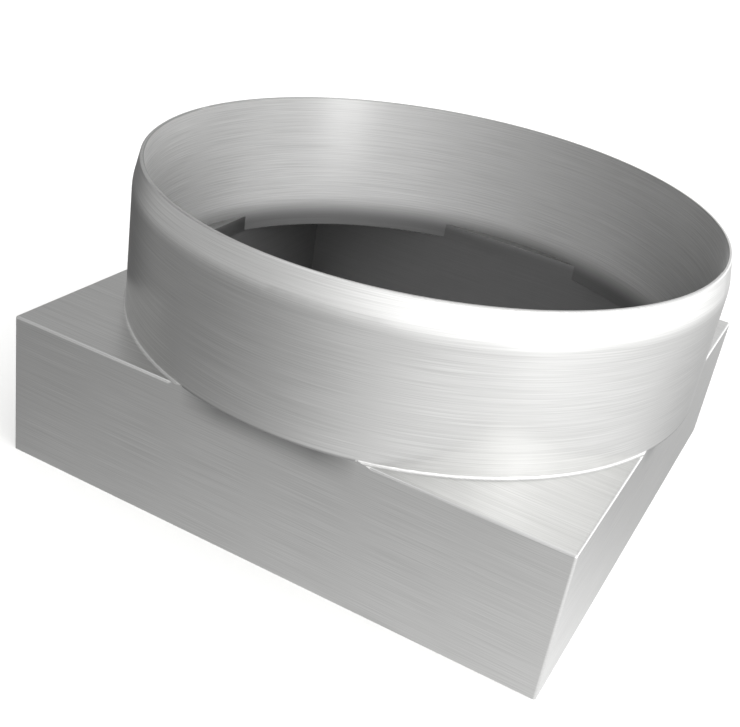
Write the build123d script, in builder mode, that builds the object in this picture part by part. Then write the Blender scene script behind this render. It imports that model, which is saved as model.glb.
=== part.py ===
from build123d import *
import os

# A pipe reducer that joins a square duct to a round one. A shallow square box, open below, carries a
# round collar that is slightly wider than the box. The same wall runs all the way: down the collar,
# out over the box's corners where the collar falls short of them, in over the middle of each side
# where the collar stands out past it, and down the sides of the box to the open mouth.
# Millimetres, +Z up the collar's axis, origin at the middle of the square mouth.

# Driving dimensions
square_side = 118.5  # outside of the square end, which slides into a 120 mm square duct
box_height = 31.0  # from the square mouth up to the corner panels
collar_diameter = 124.3  # outside of the collar, which slides into a 125 mm round duct
collar_height = 32.0  # from the corner panels up to the rim
wall = 2.0  # thickness of the wall everywhere below the lead-in
lead_in_height = 5.6  # taper below the rim that guides the round duct on
rim_land = 0.8  # wall that the taper leaves at the rim
shoulder_radius = 12.0  # softens the crease between the taper and the straight wall
foot_radius = 0.5  # sweep of the collar's foot out onto the corner panels
edge_radius = 0.5  # ground edges of the box, and of the corner panels where the bore goes through them
edge_break = 0.2  # broken edges of the rim, and of the collar's lower edge where it overhangs the sides

# Sizes and heights that follow from them
collar_radius = collar_diameter / 2
bore_radius = collar_radius - wall
rim_radius = bore_radius + rim_land
clear_side = square_side - 2 * wall
total_height = box_height + collar_height
shoulder_height = total_height - lead_in_height
panel_underside = box_height - wall
ledge_top = box_height + wall

os.makedirs("parts", exist_ok=True)

# Foot of the collar where it stands on the corner panels: a disc whose edge sweeps up into the collar,
# trimmed flush with the sides of the box. It slopes out as it reaches down past the rounded edges of
# the panels, so that the collar's own wall is the only straight round one.
with BuildPart() as corner_foot:
    with BuildSketch(Plane.XZ):
        with BuildLine():
            flare_edge = (collar_radius + foot_radius, box_height)
            flare_top = (collar_radius, box_height + foot_radius)
            skirt_edge = (collar_radius + foot_radius + edge_radius, box_height - edge_radius)
            Polyline(
                (0, box_height + foot_radius),
                (0, box_height - edge_radius),
                skirt_edge,
                flare_edge,
            )
            RadiusArc(flare_edge, flare_top, foot_radius)
            Line(flare_top, (0, box_height + foot_radius))
        make_face()
    revolve(axis=Axis.Z)
    with BuildSketch():
        Rectangle(square_side, square_side)
    extrude(amount=total_height, mode=Mode.INTERSECT)

# The reducer: box, collar and foot as one solid, then hollowed from the mouth to the rim
with BuildPart() as pipe_reducer:
    with BuildSketch():
        RectangleRounded(square_side, square_side, edge_radius)
    extrude(amount=box_height)
    fillet(pipe_reducer.edges().group_by(Axis.Z)[-1], edge_radius)

    # Collar with a broken lower edge, a straight wall for the duct and a softened lead-in
    with BuildSketch(Plane.XZ):
        with BuildLine():
            FilletPolyline(
                (0, box_height),
                (collar_radius, box_height),
                (collar_radius, shoulder_height),
                (rim_radius, total_height),
                radius=[edge_break, shoulder_radius],
            )
            Polyline((rim_radius, total_height), (0, total_height), (0, box_height))
        make_face()
    revolve(axis=Axis.Z)
    add(corner_foot.part)

    # Square well inside the box
    with BuildSketch():
        Rectangle(clear_side, clear_side)
    extrude(amount=panel_underside, mode=Mode.SUBTRACT)

    # Throat through the corner panels: as round as the bore, and flat where the box's sides stop it
    with BuildSketch(Plane.XY.offset(panel_underside)):
        Circle(bore_radius)
        Rectangle(clear_side, clear_side, mode=Mode.INTERSECT)
    extrude(amount=ledge_top - panel_underside, mode=Mode.SUBTRACT)
    underside_edges = pipe_reducer.edges().filter_by_position(Axis.Z, panel_underside, panel_underside)
    fillet(underside_edges.filter_by(GeomType.CIRCLE), edge_radius)

    # Round bore above the ledges that close the collar's overhang
    with BuildSketch(Plane.XY.offset(ledge_top)):
        Circle(bore_radius)
    extrude(amount=total_height - ledge_top, mode=Mode.SUBTRACT)
    rim = pipe_reducer.faces().sort_by(Axis.Z)[-1]
    chamfer(rim.edges(), edge_break)

pipe_reducer.part.label = "pipe_reducer"
export_step(pipe_reducer.part, "parts/pipe_reducer.step")
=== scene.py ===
import math

import bpy
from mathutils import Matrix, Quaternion, Vector


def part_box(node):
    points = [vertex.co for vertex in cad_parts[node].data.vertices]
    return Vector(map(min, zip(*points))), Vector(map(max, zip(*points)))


# A square to round pipe reducer of brushed stainless steel, on a pale floor in soft studio light.
# Metres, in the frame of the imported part: +Z up the collar's axis, the square mouth on the floor.

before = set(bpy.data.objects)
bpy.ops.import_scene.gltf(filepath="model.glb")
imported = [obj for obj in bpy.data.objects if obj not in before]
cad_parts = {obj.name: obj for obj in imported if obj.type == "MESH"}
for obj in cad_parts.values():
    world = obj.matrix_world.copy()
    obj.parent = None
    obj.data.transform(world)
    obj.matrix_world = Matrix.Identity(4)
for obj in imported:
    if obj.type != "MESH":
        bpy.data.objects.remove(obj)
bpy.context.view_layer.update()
bpy.ops.object.select_all(action="DESELECT")

MM = 0.001

# Camera, as the photograph was taken
camera_place = Vector((0.08299, -0.20631, 0.13312))
camera_azimuth = 23.85  # degrees to the right of the front wall
camera_elevation = 27.31  # degrees above the floor
camera_roll = 9.83  # degrees that the camera leans over
camera_sensor = 36.0  # millimetres wide
camera_lens = 53.61  # millimetres
camera_nearest = 0.01  # nearest that the camera sees, well short of the reducer

# Studio
bright_azimuth = -4.0  # degrees from +X towards +Y, where the studio is brightest
dim_wall = 0.62  # radiance of the studio on its dim side
bright_wall = 3.35  # and on its bright side
bright_focus = 2.3  # how closely the light gathers round the bright side
limit_softness = 0.3  # how gently the room's light comes up to its limit
corner_azimuth = 135.0  # degrees from +X towards +Y, middle of a corner of the studio that is left dim
corner_elevation = -12.0  # degrees above the horizon
corner_spread = 42.0  # degrees from the middle of that corner to where the dimness ends
corner_light = 0.35  # share of the light that is left in the middle of it
floor_side = 12.0
floor_glow = 0.1  # light that comes up through the floor, as on a light table, so that shadows stay faint
# Share of the light by height, from straight down at 0 over the horizon at 0.5 to straight up at 1
room_layers = (
    (0.0, 1.2),
    (0.16, 1.06),
    (0.26, 0.40),
    (0.31, 0.40),
    (0.5, 1.3),
    (0.6, 1.3),
    (0.72, 0.65),
    (0.86, 0.8),
    (0.94, 1.6),
)
# Radiance that no part of the room passes, so that steel seen from the bright side keeps its grain
room_limits = (
    (0.0, 1.3),
    (0.2, 1.3),
    (0.3, 2.1),
    (0.64, 2.1),
    (0.85, 1.9),
    (0.96, 1.4),
)

# The reducer's own sizes, which the brushing follows
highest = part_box("pipe_reducer")[1]
collar_radius = highest.x
wall = 2.0 * MM
box_height = 31.0 * MM
bore_radius = collar_radius - wall
square_side = 118.5 * MM
clear_side = square_side - 2 * wall

# Brushing of the steel
grain_length = 20 * MM
grain_width = 0.18 * MM  # drawn a few times coarser than a 180 grit belt leaves it, so that it shows
grain_span = {"From Min": 0.3, "From Max": 0.7}  # values that most of the noise lies between
groove_depth = 0.1 * MM
groove_strength = 0.015  # share of that depth that shows as relief
smooth_stroke = 0.30  # roughness where the belt left its finest strokes
rough_stroke = 0.315  # and where it left its coarsest
cloud_size = 40 * MM  # slow changes of gloss where the belt pressed more or less
cloud_change = 0.01
overhang_shadow_height = 6.5 * MM  # height of the painted shadow on the sides of the box below the collar's overhang
overhang_shadow_depth = 2.0 * MM  # how far in from the collar's outside the painted shadow is darkest
overhang_shadow_line = 0.7 * MM  # how far up the collar the painted shadow reaches along the lower edge of the overhang
clear_of_side = 0.1 * MM  # how far past the sides of the box a face counts as part of the overhang
painted_shade_foot_height = 7.0 * MM  # height of the band at the foot of the bore, above the corner panels, that is painted darker: painted shade
painted_shade_rim_edge = 0.3 * MM  # inner edge of the rim, painted darker: painted shade
rim_painted_shade = 0.7  # and how far that painted shade takes it towards the darker colour of the bore's foot
coarser_inside = 0.26  # roughness that the coarser grinding adds in the bore
coarser_change = 0.05  # and how much of that differs from streak to streak
painted_light_at_rim = 0.2  # painted light: how far the bore's colour is painted towards white at the rim, for light the deep bore lacks
painted_light_at_foot = 0.45  # and lower down, at its foot, where more painted light is put
painted_light_streakiness = 0.4  # share of that painted light that differs from streak to streak, following the grain
spread_outside = 0.35  # how much more the grooves spread a reflection across than along themselves
spread_inside = 0.95
across_grooves = 0.25  # share of a full turn from the strokes to the way that they spread a reflection
flat_slope = 0.7  # a face counts as flat when its normal rises more steeply than this


def linear(hex_colour):
    """The linear colour of an sRGB hex value, with full alpha."""
    channels = [int(hex_colour[i : i + 2], 16) / 255 for i in (1, 3, 5)]
    return [c / 12.92 if c <= 0.04045 else ((c + 0.055) / 1.055) ** 2.4 for c in channels] + [1.0]


def add_node(tree, kind, links=(), values=(), **settings):
    """A new node with its settings, its inputs' values by name, and the links that come into it."""
    node = tree.nodes.new(kind)
    for name, value in settings.items():
        setattr(node, name, value)
    for name, value in dict(values).items():
        node.inputs[name].default_value = value
    for name, socket in dict(links).items():
        tree.links.new(socket, node.inputs[name])
    return node


def brushed_stainless_steel():
    """Stainless steel ground with a belt: along the sides of the box and its corner panels, and round the
    collar. The grooves spread a reflection across themselves, so highlights stand as soft upright bands.
    The bore is ground more coarsely and shows its streaks, and its colour is painted lighter, most at its
    foot, a painted light for light that the deep bore lacks. Painted shade makes the bore's foot, the inner
    edge of its rim and the inside of the box darker, and a painted shadow darkens the sides below the
    collar's overhang."""
    material = bpy.data.materials.new("brushed_stainless_steel")
    material.use_nodes = True
    tree = material.node_tree
    shader = tree.nodes["Principled BSDF"]
    place = add_node(tree, "ShaderNodeTexCoord")
    spot = add_node(tree, "ShaderNodeSeparateXYZ", {"Vector": place.outputs["Object"]})
    facing = add_node(tree, "ShaderNodeSeparateXYZ", {"Vector": place.outputs["Normal"]})

    # Upright faces are brushed level, all round; flat ones are brushed along X
    upward = add_node(tree, "ShaderNodeMath", {0: facing.outputs["Z"]}, operation="ABSOLUTE")
    flat = add_node(
        tree, "ShaderNodeMath", {0: upward.outputs[0]}, {1: flat_slope}, operation="GREATER_THAN"
    )
    along, across = 1 / grain_length, 1 / grain_width
    level = add_node(
        tree, "ShaderNodeMapping", {"Vector": place.outputs["Object"]}, {"Scale": (along, along, across)}
    )
    lengthwise = add_node(
        tree, "ShaderNodeMapping", {"Vector": place.outputs["Object"]}, {"Scale": (along, across, along)}
    )
    strokes = add_node(
        tree,
        "ShaderNodeMix",
        {0: flat.outputs[0], 4: level.outputs[0], 5: lengthwise.outputs[0]},
        data_type="VECTOR",
    )
    grain = add_node(
        tree,
        "ShaderNodeTexNoise",
        {"Vector": strokes.outputs[1]},
        {"Scale": 1.0, "Detail": 2.0, "Roughness": 0.6},
    )
    clouds = add_node(
        tree,
        "ShaderNodeTexNoise",
        {"Vector": place.outputs["Object"]},
        {"Scale": 1 / cloud_size, "Detail": 2.0},
    )

    # Faces that look in at the axis: the bore is ground more coarsely, painted shade darkens its foot, the
    # inner edge of its rim and the inside of the box, and inside the box the steel is left unground
    level_spot = add_node(tree, "ShaderNodeCombineXYZ", {"X": spot.outputs["X"], "Y": spot.outputs["Y"]})
    outward = add_node(
        tree,
        "ShaderNodeVectorMath",
        {0: level_spot.outputs[0], 1: place.outputs["Normal"]},
        operation="DOT_PRODUCT",
    )
    inward = add_node(
        tree, "ShaderNodeMath", {0: outward.outputs["Value"]}, {1: -bore_radius / 2}, operation="LESS_THAN"
    )
    painted_shade_at_foot = add_node(
        tree,
        "ShaderNodeMapRange",
        {"Value": spot.outputs["Z"]},
        {"From Min": box_height + painted_shade_foot_height, "From Max": box_height, "To Min": 0.0, "To Max": 1.0},
        interpolation_type="SMOOTHSTEP",
    )
    painted_shade_at_rim = add_node(
        tree,
        "ShaderNodeMapRange",
        {"Value": spot.outputs["Z"]},
        {"From Min": highest.z - painted_shade_rim_edge, "From Max": highest.z, "To Min": 0.0, "To Max": rim_painted_shade},
    )
    painted_shade_foot_or_rim = add_node(
        tree, "ShaderNodeMath", {0: painted_shade_at_foot.outputs[0], 1: painted_shade_at_rim.outputs[0]}, operation="MAXIMUM"
    )
    painted_shade = add_node(
        tree, "ShaderNodeMath", {0: inward.outputs[0], 1: painted_shade_foot_or_rim.outputs[0]}, operation="MULTIPLY"
    )
    under_panels = add_node(
        tree, "ShaderNodeMath", {0: spot.outputs["Z"]}, {1: box_height - wall}, operation="LESS_THAN"
    )
    unground = add_node(
        tree, "ShaderNodeMath", {0: inward.outputs[0], 1: under_panels.outputs[0]}, operation="MULTIPLY"
    )

    # Painted shadow on the sides below the overhang, and along the collar's lower edge where it overhangs
    outside = add_node(
        tree, "ShaderNodeMath", {0: outward.outputs["Value"]}, {1: 0.0}, operation="GREATER_THAN"
    )
    radius = add_node(tree, "ShaderNodeVectorMath", {0: level_spot.outputs[0]}, operation="LENGTH")
    sheltered = add_node(
        tree,
        "ShaderNodeMapRange",
        {"Value": radius.outputs["Value"]},
        {"From Min": collar_radius, "From Max": collar_radius - overhang_shadow_depth, "To Min": 0.0, "To Max": 1.0},
    )
    near_collar = add_node(
        tree,
        "ShaderNodeMapRange",
        {"Value": spot.outputs["Z"]},
        {"From Min": box_height - overhang_shadow_height, "From Max": box_height, "To Min": 0.0, "To Max": 1.0},
        interpolation_type="SMOOTHSTEP",
    )
    on_box = add_node(tree, "ShaderNodeMath", {0: spot.outputs["Z"]}, {1: box_height}, operation="LESS_THAN")
    box_side = add_node(
        tree, "ShaderNodeMath", {0: sheltered.outputs[0], 1: near_collar.outputs[0]}, operation="MULTIPLY"
    )
    box_painted_shadow = add_node(
        tree, "ShaderNodeMath", {0: box_side.outputs[0], 1: on_box.outputs[0]}, operation="MULTIPLY"
    )
    out_x = add_node(tree, "ShaderNodeMath", {0: spot.outputs["X"]}, operation="ABSOLUTE")
    out_y = add_node(tree, "ShaderNodeMath", {0: spot.outputs["Y"]}, operation="ABSOLUTE")
    farther = add_node(
        tree, "ShaderNodeMath", {0: out_x.outputs[0], 1: out_y.outputs[0]}, operation="MAXIMUM"
    )
    past_side = add_node(
        tree,
        "ShaderNodeMath",
        {0: farther.outputs[0]},
        {1: square_side / 2 + clear_of_side},
        operation="GREATER_THAN",
    )
    near_edge = add_node(
        tree,
        "ShaderNodeMapRange",
        {"Value": spot.outputs["Z"]},
        {"From Min": box_height + overhang_shadow_line, "From Max": box_height, "To Min": 0.0, "To Max": 1.0},
        interpolation_type="SMOOTHSTEP",
    )
    edge_painted_shadow = add_node(
        tree, "ShaderNodeMath", {0: past_side.outputs[0], 1: near_edge.outputs[0]}, operation="MULTIPLY"
    )
    all_painted_shadow = add_node(
        tree, "ShaderNodeMath", {0: box_painted_shadow.outputs[0], 1: edge_painted_shadow.outputs[0]}, operation="MAXIMUM"
    )
    painted_shadow = add_node(
        tree, "ShaderNodeMath", {0: all_painted_shadow.outputs[0], 1: outside.outputs[0]}, operation="MULTIPLY"
    )

    # Colour, gloss and relief of the grooves
    tone = add_node(tree, "ShaderNodeValToRGB", {"Fac": grain.outputs["Fac"]})
    tone.color_ramp.elements[0].position = grain_span["From Min"]
    tone.color_ramp.elements[0].color = linear("#BEBEBD")
    tone.color_ramp.elements[1].position = grain_span["From Max"]
    tone.color_ramp.elements[1].color = linear("#D1D1D0")
    painted_light_by_depth = add_node(
        tree,
        "ShaderNodeMapRange",
        {"Value": spot.outputs["Z"]},
        {"From Min": highest.z, "From Max": box_height, "To Min": painted_light_at_rim, "To Max": painted_light_at_foot},
    )
    painted_light_grain = add_node(
        tree,
        "ShaderNodeMapRange",
        {"Value": grain.outputs["Fac"]},
        {**grain_span, "To Min": 1 - painted_light_streakiness, "To Max": 1 + painted_light_streakiness},
    )
    painted_light_streaked = add_node(
        tree, "ShaderNodeMath", {0: painted_light_by_depth.outputs[0], 1: painted_light_grain.outputs[0]}, operation="MULTIPLY"
    )
    painted_bore_light = add_node(
        tree, "ShaderNodeMath", {0: inward.outputs[0], 1: painted_light_streaked.outputs[0]}, operation="MULTIPLY"
    )
    # Painted light: the bore's colour is painted towards white, more so lower down
    bore_painted_lighter = add_node(tree, "ShaderNodeMix", {0: painted_bore_light.outputs[0], 6: tone.outputs["Color"]}, data_type="RGBA")
    bore_painted_lighter.inputs[7].default_value = linear("#FFFFFF")
    # Painted shade: the bore's foot, the rim's inner edge and the inside of the box are painted darker
    colour = add_node(tree, "ShaderNodeMix", {0: painted_shade.outputs[0], 6: bore_painted_lighter.outputs[2]}, data_type="RGBA")
    colour.inputs[7].default_value = linear("#7E7E7E")
    # Painted shadow: the colour is painted darker below the collar's overhang
    painted_shadow_colour = add_node(tree, "ShaderNodeMix", {0: painted_shadow.outputs[0], 6: colour.outputs[2]}, data_type="RGBA")
    painted_shadow_colour.inputs[7].default_value = linear("#888888")
    gloss = add_node(
        tree,
        "ShaderNodeMapRange",
        {"Value": grain.outputs["Fac"]},
        {**grain_span, "To Min": smooth_stroke, "To Max": rough_stroke},
    )
    worn = add_node(
        tree,
        "ShaderNodeMapRange",
        {"Value": clouds.outputs["Fac"]},
        {**grain_span, "To Min": -cloud_change, "To Max": cloud_change},
    )
    outside_gloss = add_node(
        tree, "ShaderNodeMath", {0: gloss.outputs[0], 1: worn.outputs[0]}, operation="ADD"
    )
    coarse = add_node(
        tree,
        "ShaderNodeMapRange",
        {"Value": grain.outputs["Fac"]},
        {**grain_span, "To Min": coarser_inside - coarser_change, "To Max": coarser_inside + coarser_change},
    )
    coarser = add_node(
        tree, "ShaderNodeMath", {0: inward.outputs[0], 1: coarse.outputs[0]}, operation="MULTIPLY"
    )
    roughness = add_node(
        tree, "ShaderNodeMath", {0: outside_gloss.outputs[0], 1: coarser.outputs[0]}, operation="ADD"
    )
    spread = add_node(
        tree,
        "ShaderNodeMapRange",
        {"Value": inward.outputs[0]},
        {"From Min": 0.0, "From Max": 1.0, "To Min": spread_outside, "To Max": spread_inside},
    )
    ground = add_node(tree, "ShaderNodeMath", {1: unground.outputs[0]}, {0: 1.0}, operation="SUBTRACT")
    grooved = add_node(
        tree, "ShaderNodeMath", {0: spread.outputs[0], 1: ground.outputs[0]}, operation="MULTIPLY"
    )
    grooves = add_node(
        tree,
        "ShaderNodeBump",
        {"Height": grain.outputs["Fac"]},
        {"Strength": groove_strength, "Distance": groove_depth},
    )
    round_tangent = add_node(tree, "ShaderNodeTangent", direction_type="RADIAL", axis="Z")
    straight_tangent = add_node(tree, "ShaderNodeTangent", direction_type="RADIAL", axis="Y")
    tangent = add_node(
        tree,
        "ShaderNodeMix",
        {0: flat.outputs[0], 4: round_tangent.outputs[0], 5: straight_tangent.outputs[0]},
        data_type="VECTOR",
    )
    shader.inputs["Metallic"].default_value = 1.0
    shader.inputs["Anisotropic Rotation"].default_value = across_grooves
    tree.links.new(painted_shadow_colour.outputs[2], shader.inputs["Base Color"])
    tree.links.new(roughness.outputs[0], shader.inputs["Roughness"])
    tree.links.new(grooved.outputs[0], shader.inputs["Anisotropic"])
    tree.links.new(grooves.outputs[0], shader.inputs["Normal"])
    tree.links.new(tangent.outputs[1], shader.inputs["Tangent"])
    return material


def pale_floor():
    """A wide matt floor that the reducer stands on and that glows a little, as a light table does. The
    steel mirrors the studio instead of it, apart from the part under the open mouth, which looks greyer in
    the steel than it is."""
    material = bpy.data.materials.new("matt_white_paint")
    material.use_nodes = True
    tree = material.node_tree
    shader = tree.nodes["Principled BSDF"]
    ray = add_node(tree, "ShaderNodeLightPath")
    colour = add_node(tree, "ShaderNodeMix", {0: ray.outputs["Is Glossy Ray"]}, data_type="RGBA")
    colour.inputs[6].default_value = linear("#F4F4F3")
    colour.inputs[7].default_value = linear("#D8D8D8")
    tree.links.new(colour.outputs[2], shader.inputs["Base Color"])
    shader.inputs["Roughness"].default_value = 0.9
    shader.inputs["Specular IOR Level"].default_value = 0.0
    shader.inputs["Emission Color"].default_value = linear("#FFFFFF")
    shader.inputs["Emission Strength"].default_value = floor_glow

    bpy.ops.mesh.primitive_plane_add(size=floor_side, location=(0, 0, 0))
    floor = bpy.context.active_object
    floor.name = "floor"
    floor.data.materials.append(material)
    bpy.ops.object.mode_set(mode="EDIT")
    bpy.ops.mesh.inset(thickness=(floor_side - clear_side) / 2)
    bpy.ops.mesh.separate(type="SELECTED")
    bpy.ops.object.mode_set(mode="OBJECT")
    under_mouth = next(o for o in bpy.context.selected_objects if o != floor)
    under_mouth.name = "floor_under_mouth"
    floor.visible_glossy = False


def studio():
    """A white room that is bright on the right and dim on the left, dimmest in the corner at the back on the
    left, with its light in layers by height. Seen directly it is plain white."""
    world = bpy.data.worlds.new("studio")
    bpy.context.scene.world = world
    world.use_nodes = True
    tree = world.node_tree
    background = tree.nodes["Background"]
    place = add_node(tree, "ShaderNodeTexCoord")
    bright_side = (math.cos(math.radians(bright_azimuth)), math.sin(math.radians(bright_azimuth)), 0.0)
    toward = add_node(
        tree,
        "ShaderNodeVectorMath",
        {0: place.outputs["Generated"]},
        {1: bright_side},
        operation="DOT_PRODUCT",
    )
    share = add_node(
        tree,
        "ShaderNodeMapRange",
        {"Value": toward.outputs["Value"]},
        {"From Min": -1.0, "From Max": 1.0, "To Min": 0.0, "To Max": 1.0},
    )
    eased = add_node(tree, "ShaderNodeMath", {0: share.outputs[0]}, {1: bright_focus}, operation="POWER")
    glow = add_node(
        tree,
        "ShaderNodeMapRange",
        {"Value": eased.outputs[0]},
        {"From Min": 0.0, "From Max": 1.0, "To Min": dim_wall, "To Max": bright_wall},
    )
    direction = add_node(tree, "ShaderNodeSeparateXYZ", {"Vector": place.outputs["Generated"]})
    height = add_node(
        tree,
        "ShaderNodeMapRange",
        {"Value": direction.outputs["Z"]},
        {"From Min": -1.0, "From Max": 1.0, "To Min": 0.0, "To Max": 1.0},
    )
    layers = add_node(tree, "ShaderNodeValToRGB", {"Fac": height.outputs[0]})
    limits = add_node(tree, "ShaderNodeValToRGB", {"Fac": height.outputs[0]})
    for ramp, stops in ((layers.color_ramp, room_layers), (limits.color_ramp, room_limits)):
        ramp.interpolation = "EASE"
        for number, (position, grey) in enumerate(stops):
            if number >= len(ramp.elements):
                ramp.elements.new(position)
            ramp.elements[number].position = position
            ramp.elements[number].color = (grey, grey, grey, 1.0)
    layered = add_node(
        tree, "ShaderNodeMath", {0: glow.outputs[0], 1: layers.outputs["Color"]}, operation="MULTIPLY"
    )
    azimuth, elevation = math.radians(corner_azimuth), math.radians(corner_elevation)
    level_step = math.cos(elevation)
    corner = (math.cos(azimuth) * level_step, math.sin(azimuth) * level_step, math.sin(elevation))
    cornerward = add_node(
        tree,
        "ShaderNodeVectorMath",
        {0: place.outputs["Generated"]},
        {1: corner},
        operation="DOT_PRODUCT",
    )
    left_light = add_node(
        tree,
        "ShaderNodeMapRange",
        {"Value": cornerward.outputs["Value"]},
        {
            "From Min": math.cos(math.radians(corner_spread)),
            "From Max": 1.0,
            "To Min": 1.0,
            "To Max": corner_light,
        },
        interpolation_type="SMOOTHSTEP",
    )
    shaded = add_node(
        tree, "ShaderNodeMath", {0: layered.outputs[0], 1: left_light.outputs[0]}, operation="MULTIPLY"
    )
    held = add_node(
        tree,
        "ShaderNodeMath",
        {0: shaded.outputs[0], 1: limits.outputs["Color"]},
        {2: limit_softness},
        operation="SMOOTH_MIN",
    )
    ray = add_node(tree, "ShaderNodeLightPath")
    strength = add_node(
        tree, "ShaderNodeMix", {0: ray.outputs["Is Camera Ray"], 2: held.outputs[0]}, data_type="FLOAT"
    )
    strength.inputs[3].default_value = 1.0
    background.inputs["Color"].default_value = linear("#FFFFFF")
    tree.links.new(strength.outputs[0], background.inputs["Strength"])


def softbox(name, place, width, height, power):
    """An area light that faces the reducer, with its place and size in metres and its power in watts."""
    light = bpy.data.lights.new(name, "AREA")
    light.shape = "RECTANGLE"
    light.size = width
    light.size_y = height
    light.energy = power
    lamp = bpy.data.objects.new(name, light)
    lamp.location = place
    lamp.rotation_mode = "QUATERNION"
    lamp.rotation_quaternion = (-Vector(place)).to_track_quat("-Z", "Y")
    bpy.context.scene.collection.objects.link(lamp)


def photograph_camera():
    """The camera at the photograph's viewing angle, leaning as it did there."""
    azimuth, elevation = math.radians(camera_azimuth), math.radians(camera_elevation)
    level_step = math.cos(elevation)
    forward = Vector((-math.sin(azimuth) * level_step, math.cos(azimuth) * level_step, -math.sin(elevation)))
    lens = bpy.data.cameras.new("camera")
    lens.sensor_width = camera_sensor
    lens.lens = camera_lens
    lens.clip_start = camera_nearest
    camera = bpy.data.objects.new("camera", lens)
    camera.location = camera_place
    camera.rotation_mode = "QUATERNION"
    lean = Quaternion((0, 0, 1), math.radians(camera_roll))
    camera.rotation_quaternion = forward.to_track_quat("-Z", "Y") @ lean
    bpy.context.scene.collection.objects.link(camera)
    bpy.context.scene.camera = camera


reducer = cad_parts["pipe_reducer"]
reducer.data.materials.clear()
reducer.data.materials.append(brushed_stainless_steel())
pale_floor()
studio()
softbox("key", place=(1.2, -0.48, 0.12), width=0.4, height=0.45, power=4.8)
softbox("fill", place=(1.11, -0.3, 0.61), width=2.4, height=0.5, power=2.7)
softbox("back", place=(-0.25, 1.02, 0.76), width=1.0, height=0.42, power=0.3)
photograph_camera()
bpy.context.scene.view_settings.view_transform = "Standard"
